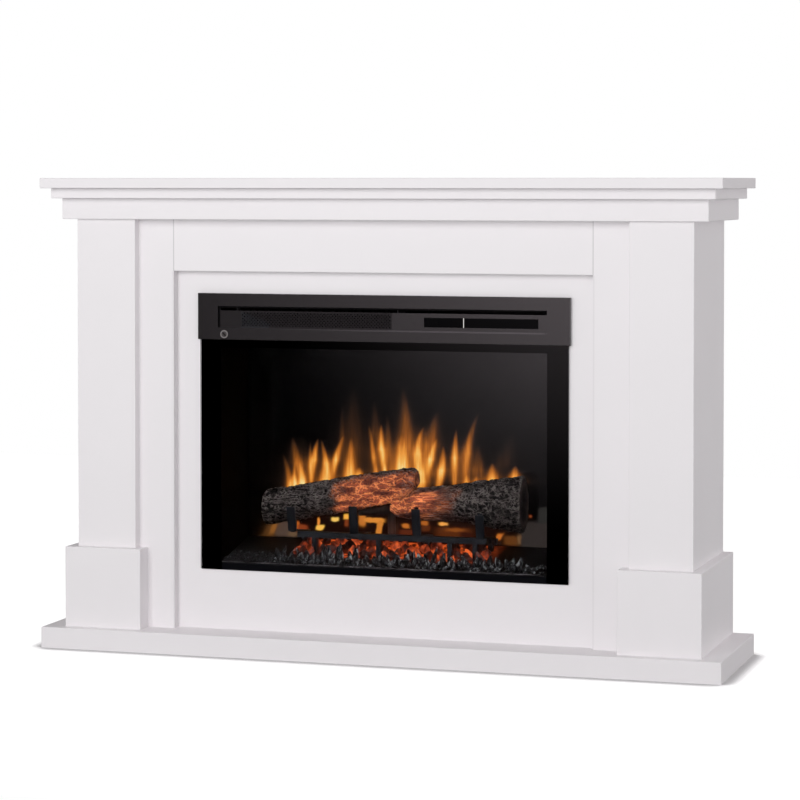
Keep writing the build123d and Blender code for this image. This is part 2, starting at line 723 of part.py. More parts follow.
save("blower_impeller", impeller)
blower_motor = rod_along_x(heater_right, motor_end, blower_y, blower_z, blower_motor_radius)
blower_motor -= rod_along_x(heater_right, motor_end - shaft_end_gap, blower_y, blower_z, rod_radius + running_gap)
save("blower_motor", blower_motor)
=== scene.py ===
import math

import bmesh
import bpy
import numpy as np
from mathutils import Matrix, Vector, noise


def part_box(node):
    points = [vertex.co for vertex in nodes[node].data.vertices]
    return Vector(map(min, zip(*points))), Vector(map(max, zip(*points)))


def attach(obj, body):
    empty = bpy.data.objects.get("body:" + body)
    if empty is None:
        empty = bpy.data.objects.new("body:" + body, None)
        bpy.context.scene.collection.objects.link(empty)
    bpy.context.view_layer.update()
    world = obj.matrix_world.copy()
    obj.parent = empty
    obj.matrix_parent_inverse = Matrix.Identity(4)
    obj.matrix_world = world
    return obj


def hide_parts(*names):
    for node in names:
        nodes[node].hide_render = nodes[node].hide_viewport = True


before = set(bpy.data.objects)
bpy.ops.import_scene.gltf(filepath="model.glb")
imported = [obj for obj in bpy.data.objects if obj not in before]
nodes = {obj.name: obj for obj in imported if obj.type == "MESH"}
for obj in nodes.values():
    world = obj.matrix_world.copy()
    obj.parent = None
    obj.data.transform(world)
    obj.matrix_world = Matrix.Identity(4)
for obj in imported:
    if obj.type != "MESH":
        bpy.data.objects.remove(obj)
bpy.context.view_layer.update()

# Mantel: fibreboard boards sprayed with a satin white lacquer, glued and screwed from behind.
# The lacquer covers what faces the room. Rear edges, the hollow columns and the hollow base stay bare,
# and a fine joint line shows where the header meets the stiles, with a fainter line of painted shade down the
# panel's edges beside them.


def tint(red, green, blue):
    """A colour written as it shows on screen, 0 to 255, turned into the linear values of the shader."""
    screen = [value / 255 for value in (red, green, blue)]
    return [v / 12.92 if v < 0.04045 else ((v + 0.055) / 1.055) ** 2.4 for v in screen] + [1.0]


def put(tree, kind, settings, inputs):
    """One shader node: its settings, and its inputs as constants or other nodes' outputs."""
    node = tree.nodes.new("ShaderNode" + kind)
    for key, value in settings.items():
        setattr(node, key, value)
    for key, value in inputs.items():
        if isinstance(value, bpy.types.NodeSocket):
            tree.links.new(value, node.inputs[key])
        else:
            node.inputs[key].default_value = value
    return node


def calc(tree, operation, *values):
    """The result of one Math node."""
    return put(tree, "Math", {"operation": operation}, dict(enumerate(values))).outputs[0]


def rise(tree, value, low, high):
    """0 below low, 1 above high and a smooth rise between; falls instead where low is above high."""
    ends = {"Value": value, "From Min": low, "From Max": high}
    return put(tree, "MapRange", {"interpolation_type": "SMOOTHSTEP"}, ends).outputs[0]


def blend(tree, share, first, second):
    """The mix of two colours."""
    return put(tree, "Mix", {"data_type": "RGBA"}, {0: share, 6: first, 7: second}).outputs[2]


def scaled(tree, colour, factor):
    """A colour made lighter or darker."""
    return put(tree, "VectorMath", {"operation": "SCALE"}, {0: colour, "Scale": factor}).outputs[0]


def cloud(tree, spot, size, detail=3.0):
    """Soft noise between 0 and 1."""
    return put(tree, "TexNoise", {}, {"Vector": spot, "Scale": size, "Detail": detail}).outputs[0]


def product(tree, first, *others):
    """Values multiplied together, such as masks that all have to hold."""
    for other in others:
        first = calc(tree, "MULTIPLY", first, other)
    return first


def apart(tree, value, middle):
    """How far a value lies from a middle, on either side."""
    return calc(tree, "ABSOLUTE", calc(tree, "SUBTRACT", value, middle))


def stretched(tree, spot, x, y, z):
    """Coordinates scaled by a different amount each way."""
    return put(tree, "Mapping", {}, {"Vector": spot, "Scale": (x, y, z)}).outputs[0]


def place(tree):
    """Where a point of the piece lies in the part's own frame, in metres."""
    return put(tree, "TexCoord", {}, {}).outputs["Object"]


def axes(tree, spot):
    """The three coordinates of a point."""
    return put(tree, "SeparateXYZ", {}, {0: spot}).outputs


def bump(tree, height, distance):
    """A surface normal roughened by a height."""
    return put(tree, "Bump", {}, {"Height": height, "Distance": distance}).outputs[0]


def new_group(name, inputs, outputs):
    """An empty node group with named sockets; returns its tree, its inputs and its outputs."""
    group = bpy.data.node_groups.new(name, "ShaderNodeTree")
    for way, sockets in (("INPUT", inputs), ("OUTPUT", outputs)):
        for socket, kind in sockets.items():
            group.interface.new_socket(socket, in_out=way, socket_type="NodeSocket" + kind)
    return group, group.nodes.new("NodeGroupInput").outputs, group.nodes.new("NodeGroupOutput").inputs


def new_finish(name, constants):
    """A material with its Principled shader, constants set on the shader's own sockets."""
    finish = bpy.data.materials.new(name)
    finish.use_nodes = True
    shader = finish.node_tree.nodes["Principled BSDF"]
    for socket, value in constants.items():
        shader.inputs[socket].default_value = value
    return finish, finish.node_tree, shader.inputs


def dress(finish, *names):
    """Gives CAD nodes their finish."""
    for name in names:
        slots = nodes[name].data.materials
        slots.clear()
        slots.append(finish)


fine_grain, given, result = new_group(
    "fine_grain",
    {"Colour": "Color", "Size": "Float", "Spread": "Float", "Roughness": "Float"},
    {"Colour": "Color", "Roughness": "Float", "Height": "Float"})
grain_spot = place(fine_grain)
grain = cloud(fine_grain, grain_spot, given["Size"])
drift = cloud(fine_grain, grain_spot, 9.0)
unevenness = calc(fine_grain, "SUBTRACT", calc(fine_grain, "ADD", grain, drift), 1.0)
shade = calc(fine_grain, "MULTIPLY_ADD", unevenness, given["Spread"], 1.0)
fine_grain.links.new(scaled(fine_grain, given["Colour"], shade), result["Colour"])
fine_grain.links.new(calc(fine_grain, "MULTIPLY", given["Roughness"], shade), result["Roughness"])
fine_grain.links.new(grain, result["Height"])

board_fibre, _, result = new_group("board_fibre", {}, {"Colour": "Color", "Height": "Float"})
fibre_spot = place(board_fibre)
chips = cloud(board_fibre, stretched(board_fibre, fibre_spot, 1.0, 1.0, 2.2), 420.0, 6.0)
stain = cloud(board_fibre, fibre_spot, 14.0)
chip_share = calc(board_fibre, "MULTIPLY_ADD", stain, 0.3, calc(board_fibre, "MULTIPLY", chips, 0.8))
fibre_brown, fibre_tan = tint(128, 94, 62), tint(196, 160, 116)
board_fibre.links.new(blend(board_fibre, chip_share, fibre_brown, fibre_tan), result["Colour"])
board_fibre.links.new(chips, result["Height"])

lacquer_white = tint(238, 235, 237)
stile_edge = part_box("right_stile")[0].x
header_low, header_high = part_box("header_board")
column_low, column_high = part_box("right_column")
base_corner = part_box("base_plinth")[1]
board_thickness = 0.018
face_play = 0.0005
inside_board = board_thickness - face_play
joint_shade, joint_reach, joint_core = 0.35, 0.0012, 0.0002
edge_shade, edge_reach, edge_core = 0.08, 0.0042, 0.0008

paint, tree, shader = new_finish("mantel_lacquer", {"IOR": 1.46, "Specular IOR Level": 0.3})
x, y, z = axes(tree, place(tree))
side = calc(tree, "ABSOLUTE", x)
normal_y = axes(tree, put(tree, "NewGeometry", {}, {}).outputs["Normal"])["Y"]
rear_face = calc(tree, "GREATER_THAN", normal_y, 0.5)
column_middle = (column_low.x + column_high.x) / 2
hollow_half = (column_high.x - column_low.x) / 2 - inside_board
in_column = product(
    tree, calc(tree, "LESS_THAN", apart(tree, side, column_middle), hollow_half),
    calc(tree, "GREATER_THAN", y, column_low.y + inside_board), calc(tree, "LESS_THAN", z, column_high.z))
in_base = product(
    tree, calc(tree, "LESS_THAN", z, base_corner.z - inside_board),
    calc(tree, "LESS_THAN", side, base_corner.x - inside_board),
    calc(tree, "LESS_THAN", calc(tree, "ABSOLUTE", y), base_corner.y - inside_board))
bare = calc(tree, "MAXIMUM", rear_face, calc(tree, "MAXIMUM", in_column, in_base))
from_seam = apart(tree, side, stile_edge)
joint = product(
    tree, rise(tree, from_seam, joint_reach, joint_core), joint_shade,
    calc(tree, "GREATER_THAN", z, header_low.z), calc(tree, "LESS_THAN", z, header_high.z))
# Painted shade: a faint darker line down the panel beside each stile, between the base and the header.
edge = product(
    tree, rise(tree, from_seam, edge_reach, edge_core), edge_shade,
    calc(tree, "LESS_THAN", z, header_low.z), calc(tree, "GREATER_THAN", z, base_corner.z + face_play))
skin = put(tree, "Group", {"node_tree": fine_grain},
           {"Colour": lacquer_white, "Size": 900.0, "Spread": 0.025, "Roughness": 0.42})
fibre = put(tree, "Group", {"node_tree": board_fibre}, {})
lined_with_joint_and_shade = scaled(tree, skin.outputs["Colour"], calc(tree, "SUBTRACT", 1.0, calc(tree, "ADD", joint, edge)))
tree.links.new(blend(tree, bare, lined_with_joint_and_shade, fibre.outputs["Colour"]), shader["Base Color"])
tree.links.new(calc(tree, "MAXIMUM", skin.outputs["Roughness"], calc(tree, "MULTIPLY", bare, 0.85)),
               shader["Roughness"])
tree.links.new(bump(tree, skin.outputs["Height"], 0.00006), shader["Normal"])
dress(paint, "mantel_shelf", "cornice_middle_board", "cornice_front_rail", "cornice_left_return",
      "cornice_right_return", "left_column", "right_column", "left_plinth_block", "right_plinth_block",
      "left_stile", "right_stile", "header_board", "insert_panel", "base_plinth")

# Hidden timber: bare fibreboard rails, battens and the shelf that the insert stands on.
# Sawn and left unpainted, fixed with angle brackets, and seen only from behind.
raw_board, tree, shader = new_finish("bare_fibreboard", {"Roughness": 0.85})
fibre = put(tree, "Group", {"node_tree": board_fibre}, {})
saw_marks = cloud(tree, stretched(tree, place(tree), 30.0, 600.0, 600.0), 1.0)
saw_shade = calc(tree, "MULTIPLY_ADD", saw_marks, 0.2, 0.9)
tree.links.new(scaled(tree, fibre.outputs["Colour"], saw_shade), shader["Base Color"])
tree.links.new(bump(tree, fibre.outputs["Height"], 0.0003), shader["Normal"])
dress(raw_board, "upper_back_rail", "lower_back_rail", "panel_battens", "shelf_bearers",
      "insert_support_shelf")

# Fixings: folded steel angle brackets and screws with a zinc coat.
# The coat shows the large dull crystals of zinc, and is brighter on some than on others.
zinc, tree, shader = new_finish("zinc_coat", {"Metallic": 1.0})
spot = place(tree)
crystal = put(tree, "TexVoronoi", {}, {"Vector": spot, "Scale": 320.0}).outputs["Color"]
crystal_shade = axes(tree, crystal)["X"]
tree.links.new(blend(tree, crystal_shade, tint(150, 154, 158), tint(208, 210, 211)), shader["Base Color"])
tree.links.new(calc(tree, "MULTIPLY_ADD", crystal_shade, 0.2, 0.3), shader["Roughness"])
tree.links.new(bump(tree, cloud(tree, spot, 700.0), 0.00005), shader["Normal"])
dress(zinc, "angle_brackets", "bracket_screws", "casing_screws")


# Insert casing: folded mild steel sheets with a black powder coat, screwed together at their flanges.
# The coat has a fine even orange peel. The firebox lining and the frame behind the glass are dead black,
# but for the frame's sill, where a faint glow is painted in as light from the fire creeping along behind the
# glass.
def grained(name, colour, roughness, size, spread, relief, constants):
    """A finish of one colour with a fine grain that varies its shade and gloss and roughens it a little."""
    finish, tree, shader = new_finish(name, constants)
    skin = put(tree, "Group", {"node_tree": fine_grain},
               {"Colour": colour, "Size": size, "Spread": spread, "Roughness": roughness})
    tree.links.new(skin.outputs["Colour"], shader["Base Color"])
    tree.links.new(skin.outputs["Roughness"], shader["Roughness"])
    tree.links.new(bump(tree, skin.outputs["Height"], relief), shader["Normal"])
    return finish


powder_black = grained("black_powder_coat", tint(30, 30, 31), 0.55, 1300.0, 0.25, 0.00008, {})
dress(powder_black, "casing_left", "casing_right", "casing_top", "casing_bottom", "casing_back",
      "heater_deck", "heater_housing", "rod_brackets")
lining_black = grained(
    "dead_black_lining", tint(3, 3, 4), 0.75, 900.0, 0.2, 0.00005, {"Specular IOR Level": 0.1})
dress(lining_black, "left_liner", "right_liner")
sill_height, sill_half = 0.16, 0.297
frame_black, tree, shader = new_finish(
    "frame_black", {"Roughness": 0.7, "Specular IOR Level": 0.2, "Emission Strength": 1.0})
spot = place(tree)
x, _, z = axes(tree, spot)
# Painted light: a faint glow along the sill.
sill = product(tree, rise(tree, z, sill_height, sill_height - 0.002),
               rise(tree, calc(tree, "ABSOLUTE", x), sill_half + 0.001, sill_half - 0.001))
frame_grain = cloud(tree, spot, 900.0)
tree.links.new(blend(tree, frame_grain, tint(5, 5, 6), tint(9, 9, 10)), shader["Base Color"])
tree.links.new(scaled(tree, tint(12, 12, 15)[:3], sill), shader["Emission Color"])
tree.links.new(bump(tree, frame_grain, 0.00005), shader["Normal"])
dress(frame_black, "front_frame")

# Cord gland and key switches: small mouldings of black plastic with a fine matt grain.
# The gland is a bush pressed into the back sheet, with a bore for the mains lead.
moulded_black = grained("moulded_black_plastic", tint(22, 22, 23), 0.48, 1600.0, 0.15, 0.00004, {})
dress(moulded_black, "cord_gland", "key_switches")

# Fan heater: a finned ceramic element, dark from its oven finish, ahead of a cross-flow impeller.
# Both sit in the duct behind the outlet mesh, and the impeller is blackened aluminium.
# The motors have plain steel cases, and the flicker rod is brushed aluminium.
brushed, tree, shader = new_finish("brushed_aluminium", {"Metallic": 1.0})
strokes = cloud(tree, stretched(tree, place(tree), 40.0, 1800.0, 1800.0), 1.0)
tree.links.new(blend(tree, strokes, tint(196, 198, 200), tint(228, 229, 230)), shader["Base Color"])
tree.links.new(calc(tree, "MULTIPLY_ADD", strokes, 0.2, 0.18), shader["Roughness"])
tree.links.new(bump(tree, strokes, 0.00002), shader["Normal"])
dress(brushed, "flicker_blades", "flicker_shaft")
oven_dark = grained(
    "oven_dark_ceramic", tint(4, 4, 4), 0.85, 700.0, 0.3, 0.0001, {"Specular IOR Level": 0.05})
dress(oven_dark, "heating_element")
blackened = grained(
    "blackened_aluminium", tint(10, 10, 11), 0.6, 800.0, 0.25, 0.00003, {"Specular IOR Level": 0.1})
dress(blackened, "blower_impeller")
motor_steel = grained("motor_steel", tint(128, 130, 132), 0.38, 800.0, 0.2, 0.00003, {"Metallic": 1.0})
dress(motor_steel, "blower_motor", "flame_motor")

# Circuit boards: glass fibre with green resist over copper tracks, for the keys and the two lamp strips.
# The lamps are small moulded blocks that shine warm light up at the embers and through the flicker blades.
circuit, tree, shader = new_finish("circuit_board_resist", {"Roughness": 0.35})
tracks = put(tree, "TexBrick", {"offset": 0.5},
             {"Vector": place(tree), "Color1": tint(20, 74, 46), "Color2": tint(24, 86, 52),
              "Mortar": tint(52, 128, 80), "Scale": 160.0, "Mortar Size": 0.06})
tree.links.new(tracks.outputs["Color"], shader["Base Color"])
tree.links.new(bump(tree, tracks.outputs["Fac"], 0.00003), shader["Normal"])
dress(circuit, "control_board", "led_boards")
lamp, tree, shader = new_finish("warm_lamp", {"Roughness": 0.3, "Emission Strength": 1.5})
lens = cloud(tree, place(tree), 500.0)
tree.links.new(blend(tree, lens, tint(255, 150, 60), tint(255, 205, 130)), shader["Emission Color"])
dress(lamp, "leds")

# Flame screen: a glossy sheet of smoked acrylic at the back of the firebox.
# The flicker rod throws light on it from behind, which paints tongues of flame above and between the logs.
smoked, tree, shader = new_finish("smoked_acrylic", {"Base Color": tint(6, 6, 6), "IOR": 1.4})
smear = cloud(tree, place(tree), 22.0)
tree.links.new(calc(tree, "MULTIPLY_ADD", smear, 0.1, 0.08), shader["Roughness"])
dress(smoked, "flame_screen")

# Each tongue in millimetres: foot across and up, bend across, tip across and up, half width, then its heat
# and the share of its height at which it is widest and hottest
tongues = (
    (-214, 272, -219, -231, 340, 8.0, 0.52, 0.0), (-213, 270, -212, -211, 302, 10.0, 0.95, 0.0),
    (-209, 276, -209, -209, 324, 4.5, 0.78, 0.2), (-193, 296, -207, -212, 371, 9.0, 0.50, 0.35),
    (-193, 276, -193, -199, 324, 7.5, 1.00, 0.1), (-176, 288, -179, -178, 363, 3.2, 0.50, 0.4),
    (-176, 296, -174, -163, 369, 6.2, 0.84, 0.45), (-143, 300, -149, -157, 367, 5.2, 0.78, 0.35),
    (-149, 286, -149, -152, 336, 10.5, 0.88, 0.05), (-137, 300, -130, -115, 375, 6.2, 0.80, 0.4),
    (-118, 352, -118, -116, 434, 4.2, 0.17, 0.2), (-103, 294, -102, -100, 372, 11.0, 0.95, 0.0),
    (-85, 298, -85, -85, 319, 9.5, 0.90, 0.0), (-96, 303, -96, -96, 464, 21.0, 0.19, 0.3),
    (-53, 304, -58, -67, 397, 4.2, 0.56, 0.35), (-53, 300, -53, -54, 326, 5.5, 0.62, 0.0),
    (-37, 306, -44, -43, 398, 5.6, 0.90, 0.5), (-36, 303, -36, -37, 328, 5.0, 0.75, 0.0),
    (-29, 310, -29, -32, 416, 8.0, 0.30, 0.3), (-54, 366, -53, -57, 440, 9.0, 0.20, 0.2),
    (-4, 306, -4, -4, 380, 13.5, 1.00, 0.1), (-2, 328, 7, -3, 466, 15.0, 0.44, 0.2),
    (27, 312, 17, 37, 396, 6.8, 0.86, 0.4), (32, 274, 30, 27, 364, 10.5, 0.90, 0.25),
    (45, 316, 50, 61, 375, 5.8, 0.90, 0.35), (45, 326, 47, 64, 426, 15.0, 0.40, 0.35),
    (62, 282, 73, 73, 362, 7.2, 0.88, 0.45), (94, 288, 93, 97, 394, 5.6, 0.82, 0.5),
    (115, 300, 111, 139, 424, 7.2, 0.52, 0.4), (116, 288, 116, 117, 312, 7.0, 0.86, 0.0),
    (134, 290, 134, 135, 310, 8.0, 0.72, 0.0), (138, 300, 138, 137, 368, 8.5, 0.30, 0.3),
    (163, 294, 163, 164, 334, 12.5, 0.96, 0.1), (204, 298, 205, 206, 331, 12.5, 0.96, 0.1),
    (178, 318, 190, 202, 388, 17.0, 0.11, 0.2), (-188, 278, -190, -196, 372, 30.0, 0.15, 0.1),
    (20, 300, 22, 28, 404, 46.0, 0.22, 0.1), (-46, 302, -46, -48, 404, 24.0, 0.15, 0.1),
    (112, 290, 112, 118, 384, 24.0, 0.22, 0.1), (-140, 288, -140, -138, 352, 24.0, 0.16, 0.1))
heat_steps = (0.0, 0.06, 0.14, 0.26, 0.4, 0.56, 0.74, 0.88, 1.0)
heat_colours = [tint(*c)[:3] for c in (
    (0, 0, 0), (22, 14, 10), (50, 30, 17), (95, 55, 23), (148, 82, 29), (200, 116, 41), (245, 158, 63),
    (255, 192, 97), (255, 224, 150))]
# What shows under the logs, all painted light, laid one over the other: a dull red wash of ember light,
# grey light at the ends of the screen, bright glimpses of fire and a small painted glint of a lamp. Across,
# up, half width, half height, slant, sharpness, colour
glimpses = (
    (10, 205, 195, 30, 0.0, 15, (27, 11, 7)), (-226, 202, 22, 14, 0.0, 12, (82, 65, 56)),
    (-256, 199, 10, 12, 0.5, 4, (84, 52, 24)), (-249, 203, 5, 11, 0.4, 5, (140, 88, 38)),
    (-212, 193, 8, 4, 0.0, 6, (104, 80, 58)), (-203, 208, 3.5, 9, 0.0, 12, (190, 96, 34)),
    (-193, 205, 9, 6, 0.0, 8, (138, 60, 28)), (-160, 207, 7.5, 5, 0.4, 15, (255, 192, 84)),
    (-162, 218, 2.4, 7, 0.0, 12, (240, 146, 58)), (-131, 223, 7, 3.6, 0.0, 12, (255, 204, 100)),
    (-110, 228, 4.6, 5, 0.0, 12, (255, 182, 72)), (-109, 217, 4, 6, 0.0, 8, (128, 58, 28)),
    (-79, 224, 6.5, 11, 0.0, 10, (200, 118, 46)), (-56, 224, 19, 4.6, -0.1, 15, (226, 142, 56)),
    (-47, 209, 5.4, 14, 0.18, 15, (214, 130, 50)), (-20, 205, 9, 14, 0.0, 8, (52, 29, 21)),
    (3, 216, 6.5, 3.6, -0.4, 8, (200, 112, 42)), (4, 203, 13, 6, 0.0, 8, (92, 40, 22)),
    (38, 222, 7, 4, 0.0, 8, (180, 98, 36)), (40, 213, 8, 5, 0.0, 8, (92, 44, 20)),
    (92, 207, 32, 9, 0.0, 8, (88, 42, 18)), (73, 222, 8, 3, -0.2, 10, (250, 168, 78)),
    (95, 212, 16, 3, -0.2, 6, (140, 74, 28)), (116, 203, 12, 6, 0.0, 8, (54, 21, 12)),
    (176, 203, 5.5, 5.5, 0.5, 8, (205, 112, 42)), (198, 197, 13, 8, 0.0, 8, (98, 56, 23)),
    (214, 199, 4, 8, 0.0, 6, (120, 86, 54)), (250, 206, 34, 26, 0.0, 24, (50, 44, 42)),
    (272, 244, 24, 14, 0.0, 24, (43, 42, 40)), (233, 241, 2.6, 2.2, 0.0, 6, (140, 68, 36)))
flame_cell = 0.0014
flame_gap = 0.0006
flame_side, flame_foot, flame_head = 0.296, 0.187, 0.481
screen_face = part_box("flame_screen")[0].y

columns = np.arange(-flame_side, flame_side + flame_cell / 2, flame_cell)
rows = np.arange(flame_foot, flame_head + flame_cell / 2, flame_cell)
across, up = np.meshgrid(columns * 1000, rows * 1000)
cold = np.ones_like(across)
for foot, low, bend, tip, high, half_width, heat, crest in tongues:
    way = np.clip((up - low) / (high - low), 0, 1)
    middle = foot * (1 - way) ** 2 + 2 * bend * way * (1 - way) + tip * way ** 2
    below_crest = np.clip(way / max(crest, 0.01), 0, 1)
    above_crest = np.clip((1 - way) / (1 - crest), 0, 1)
    half = half_width * (0.65 + 0.35 * below_crest) * above_crest ** 0.7 + 0.5
    core = 1 / (1 + (np.abs(across - middle) / half) ** 3.2)
    below_foot = np.exp(np.minimum(up - low, 0) / 14)
    glowing = heat * core * (0.55 + 0.45 * below_crest) * above_crest ** 0.75 * below_foot
    cold *= 1 - np.minimum(glowing, 0.995)


def flutter(across_scale, up_scale, layer):
    """Soft noise over the flame image, drawn out by its own amount across and up."""
    return np.array([[noise.noise((u * across_scale, v * up_scale, layer)) for u in columns * 1000]
                     for v in rows * 1000])


streaks = 0.5 * flutter(0.12, 0.016, 3.0) + 0.35 * flutter(0.4, 0.04, 9.0)
hot = np.clip((1 - cold) * (1 + 0.5 * streaks), 0, 1)
shown = np.stack([np.interp(hot, heat_steps, [c[i] for c in heat_colours]) for i in range(3)], axis=-1)
ragged = 1.4 * flutter(0.11, 0.11, 5.0)
for x, z, wide, tall, slant, sharpness, colour in glimpses:
    corner = 2 + min(wide, tall) / 3
    from_side = np.abs(across + ragged - x - slant * (up - z)) / wide
    from_level = np.abs(up + ragged - z) / tall
    cover = 1 / (1 + (from_side ** corner + from_level ** corner) ** (sharpness / corner))
    shown += cover[..., None] * (np.array(tint(*colour)[:3]) - shown)


def new_piece(name, points, faces, finish, smooth=True):
    """A mesh piece that rides on the fireplace with its finish and material slot."""
    mesh = bpy.data.meshes.new(name)
    mesh.from_pydata(points, [], faces)
    mesh.materials.append(finish)
    mesh.polygons.foreach_set("use_smooth", [smooth] * len(mesh.polygons))
    mesh.update()
    piece = bpy.data.objects.new(name, mesh)
    bpy.context.scene.collection.objects.link(piece)
    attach(piece, "fireplace")
    return piece


# The tongues and glimpses are painted light: a glowing sheet just in front of the screen stands in for the
# light that the rod throws on it.
flame_light, tree, shader = new_finish(
    "flame_light", {"Base Color": tint(6, 6, 6), "IOR": 1.4, "Roughness": 0.12, "Emission Strength": 1.0})
flame_tint = put(tree, "Attribute", {"attribute_name": "flame_tint"}, {})
tree.links.new(flame_tint.outputs["Color"], shader["Emission Color"])
column_count, row_count = len(columns), len(rows)
points = [(x, screen_face - flame_gap, z) for z in rows for x in columns]
corners = [r * column_count + c for r in range(row_count - 1) for c in range(column_count - 1)]
faces = [(i, i + 1, i + column_count + 1, i + column_count) for i in corners]
flames = new_piece("flame_image", points, faces, flame_light)
flame_colours = np.concatenate([shown.reshape(-1, 3), np.ones((len(points), 1))], axis=1)
tint_layer = flames.data.color_attributes.new("flame_tint", "FLOAT_COLOR", "POINT")
tint_layer.data.foreach_set("color", flame_colours.ravel())

# Ember bed: a vacuum-formed amber sheet, painted black at the front and sides and lit from below.
# Loose resin lumps lie on it: dark slate coals along the front and the ends, glowing embers under the bar.
bed_low, bed_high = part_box("ember_bed")
bed_lip_height = 0.158


def bed_height(y):
    """How high the sloping bed is at one depth."""
    return bed_lip_height + (bed_high.z - bed_lip_height) * (y - bed_low.y) / (bed_high.y - bed_low.y)


ember_left, ember_right, ember_spill, ember_fade = -0.172, 0.186, 0.01, 0.05
painted_to, lit_from = -0.042, -0.02
lip_line, lip_reach = 0.0016, 0.004
bed_finish, tree, shader = new_finish("ember_bed_sheet", {"Roughness": 0.6, "Emission Strength": 0.9})
spot = place(tree)
x, y, z = axes(tree, spot)
lit = product(tree, rise(tree, x, ember_left - ember_spill, ember_left + ember_fade),
              rise(tree, x, ember_right + ember_spill, ember_right - ember_fade),
              rise(tree, y, painted_to, lit_from))
mottle = rise(tree, cloud(tree, spot, 105.0, 5.0), 0.36, 0.66)
ember_red = blend(tree, mottle, tint(70, 14, 4), tint(236, 96, 40))
tree.links.new(scaled(tree, ember_red, lit), shader["Emission Color"])
lip_breaks = rise(tree, cloud(tree, stretched(tree, spot, 22.0, 0.0, 0.0), 1.0), 0.36, 0.6)
# A pale broken line is drawn along the top of the bed's front lip.
lip = product(tree, rise(tree, z, bed_lip_height - lip_line, bed_lip_height - lip_line / 2),
              rise(tree, y, bed_low.y + lip_reach, bed_low.y + lip_reach / 2), lip_breaks)
black_paint = blend(tree, cloud(tree, spot, 340.0, 5.0), tint(3, 3, 3), tint(9, 9, 10))
tree.links.new(blend(tree, lip, black_paint, tint(112, 112, 115)), shader["Base Color"])
tree.links.new(bump(tree, cloud(tree, spot, 240.0, 5.0), 0.0015), shader["Normal"])
dress(bed_finish, "ember_bed")

dice = np.random.default_rng(11)
stone = bmesh.new()
bmesh.ops.create_icosphere(stone, subdivisions=2, radius=1.0)
stone_points = np.array([v.co for v in stone.verts])
stone_faces = np.array([[v.index for v in f.verts] for f in stone.faces])
stone.free()


def rubble(lumps):
    """Points, faces and own shade of many rough shards, each with a place on the bed and three half sizes."""
    points, faces, shades = [], [], []
    for x, y, wide, deep, tall in lumps:
        rough = stone_points * dice.uniform(0.68, 1.12, (len(stone_points), 1))
        turn = dice.uniform(0, 2 * math.pi)
        lean = dice.normal(0, 0.22, 2)
        taper = 1 - 0.45 * np.clip(rough[:, 2:3], 0, 1)
        body = rough * (wide, deep, tall) * np.hstack([taper, taper, np.ones_like(taper)])
        body[:, :2] += lean * body[:, 2:3]
        turned = body.copy()
        turned[:, 0] = body[:, 0] * math.cos(turn) - body[:, 1] * math.sin(turn)
        turned[:, 1] = body[:, 0] * math.sin(turn) + body[:, 1] * math.cos(turn)
        faces.append(stone_faces + len(points) * len(stone_points))
        points.append(turned + (x, y, bed_height(y) + tall * 0.5))
        shades.append(np.full(len(stone_points), dice.uniform()))
    return np.concatenate(points), np.concatenate(faces), np.concatenate(shades)


def mark(piece, name, values):
    """Stores one number for each point of a piece, for its finish to read."""
    piece.data.attributes.new(name, "FLOAT", "POINT").data.foreach_set("value", values)


def marked(tree, name):
    """Reads those numbers in a finish."""
    return put(tree, "Attribute", {"attribute_name": name}, {}).outputs["Fac"]


coal_finish, tree, shader = new_finish("slate_coal", {"Specular IOR Level": 0.6})
spot = place(tree)
highlight_streaks = cloud(tree, stretched(tree, spot, 230.0, 230.0, 70.0), 1.0, 3.0)
highlight_and_tone = calc(tree, "ADD", highlight_streaks, calc(tree, "MULTIPLY", marked(tree, "shade"), 0.12))
dull_from, dull_full = -0.18, -0.22
dull_gravel = rise(tree, axes(tree, spot)["X"], dull_from, dull_full)
highlight_and_tone = calc(tree, "MULTIPLY_ADD", dull_gravel, -0.09, highlight_and_tone)
# Painted highlight: pale streaks on the coals stand in for room light catching them; on the gravel at the
# left they are fewer and the slate darker.
pale = rise(tree, highlight_and_tone, 0.58, 0.80)
slate = blend(tree, rise(tree, highlight_and_tone, 0.42, 0.62), tint(3, 3, 4), tint(40, 45, 48))
tree.links.new(blend(tree, pale, slate, tint(172, 184, 184)), shader["Base Color"])
tree.links.new(calc(tree, "SUBTRACT", 0.62, calc(tree, "MULTIPLY", pale, 0.2)), shader["Roughness"])
tree.links.new(bump(tree, cloud(tree, spot, 480.0, 5.0), 0.0012), shader["Normal"])

bed_margin = 0.008
bed_half = bed_high.x - bed_margin
# Rows of coals from front to back: depth, least and most height, half size and pitch
coal_rows = ((-0.071, 0.0022, 0.0048, 0.0046, 0.0078), (-0.063, 0.0038, 0.0085, 0.0060, 0.0104),
             (-0.055, 0.0060, 0.0125, 0.0066, 0.0128), (-0.046, 0.0085, 0.0190, 0.0068, 0.0140))
gravel_to, shards_from = -0.245, -0.195
gravel_front, gravel_back, gravel_pitch, gravel_half = -0.068, -0.026, 0.006, 0.004
shrink_length = 0.08
lumps = []
for y, low, high, half_size, pitch in coal_rows:
    for x in np.arange(-bed_half, bed_half, pitch):
        size = 0.3 + 0.7 * min(1.0, max(0.0, (x - gravel_to) / (shards_from - gravel_to)))
        size *= min(1.0, 0.5 + 0.5 * (bed_half - x) / shrink_length)
        lumps.append((x + dice.normal(0, 0.003), y + dice.normal(0, 0.002),
                      dice.uniform(0.7, 1.25) * half_size, dice.uniform(0.6, 1.0) * half_size,
                      dice.triangular(0.5, 0.85, 1.45) * dice.uniform(low, high) * size))
